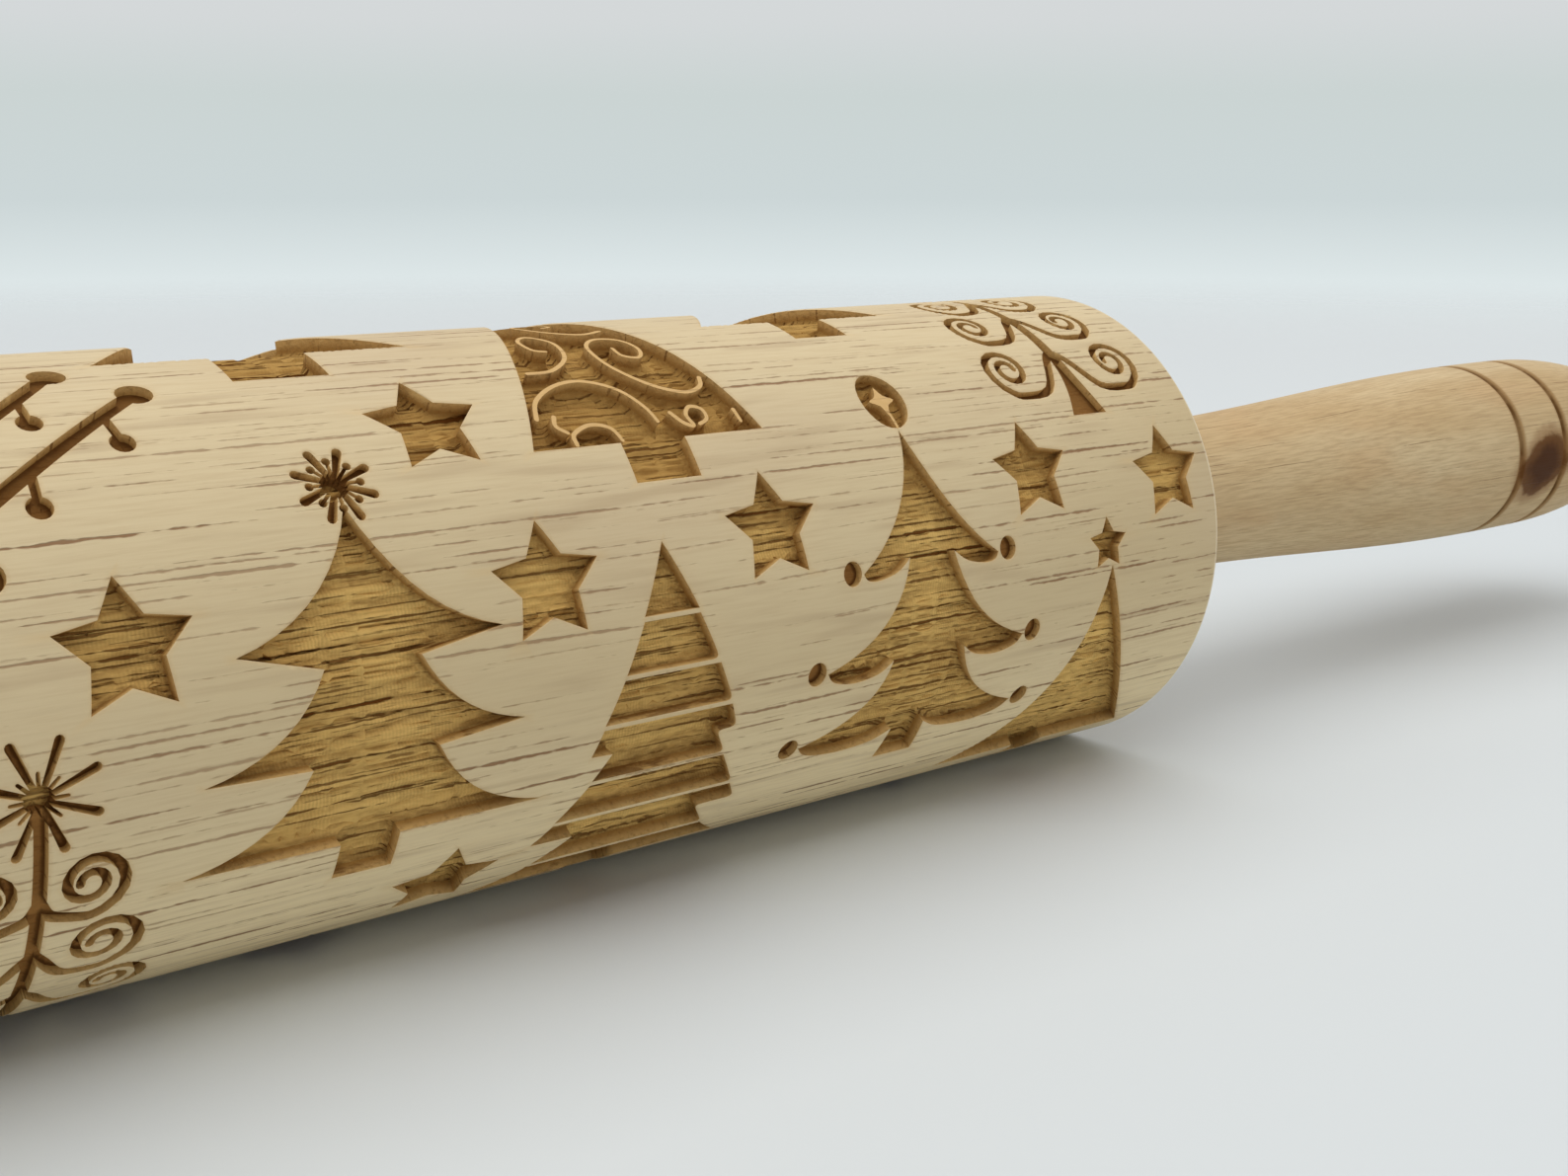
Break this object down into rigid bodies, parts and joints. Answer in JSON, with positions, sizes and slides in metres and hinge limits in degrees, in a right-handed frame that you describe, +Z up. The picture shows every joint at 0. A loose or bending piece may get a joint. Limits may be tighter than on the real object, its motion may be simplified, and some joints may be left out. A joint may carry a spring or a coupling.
{
  "type": "embossed rolling pin",
  "caption": "Wooden rolling pin with an engraved roller that turns on a steel axle between two turned handles with burnt rings.",
  "frame": {"origin": "on the table under the middle of the roller", "axes": "+X along the roller towards the right handle, +Z up, the figures' fronts face -Y and turn up over the top"},
  "size_m": [0.496, 0.05, 0.05],
  "materials": {
    "roller_wood": "bare sanded beech, laser engraved",
    "handle_wood": "turned and oiled",
    "plug_wood": "turned and oiled",
    "nylon": "moulded",
    "steel": "drawn bright",
    "zinc": "zinc plated"
  },
  "bodies": {
    "roller": {"roller_barrel": "roller_wood", "bearing_bush_left": "nylon", "bearing_bush_right": "nylon"},
    "handles": {"axle_rod": "steel", "handle_left": "handle_wood", "handle_right": "handle_wood", "thrust_washer_left": "nylon", "thrust_washer_right": "nylon", "nut_washer_left": "zinc", "nut_washer_right": "zinc", "axle_nut_left": "zinc", "axle_nut_right": "zinc", "handle_plug_left": "plug_wood", "handle_plug_right": "plug_wood"}
  },
  "joints": [
    {"name": "roller_spin", "type": "hinge", "parent": "roller", "child": "handles", "pos_m": [0, 0, 0.025], "axis": [1, 0, 0], "continuous": true}
  ]
}
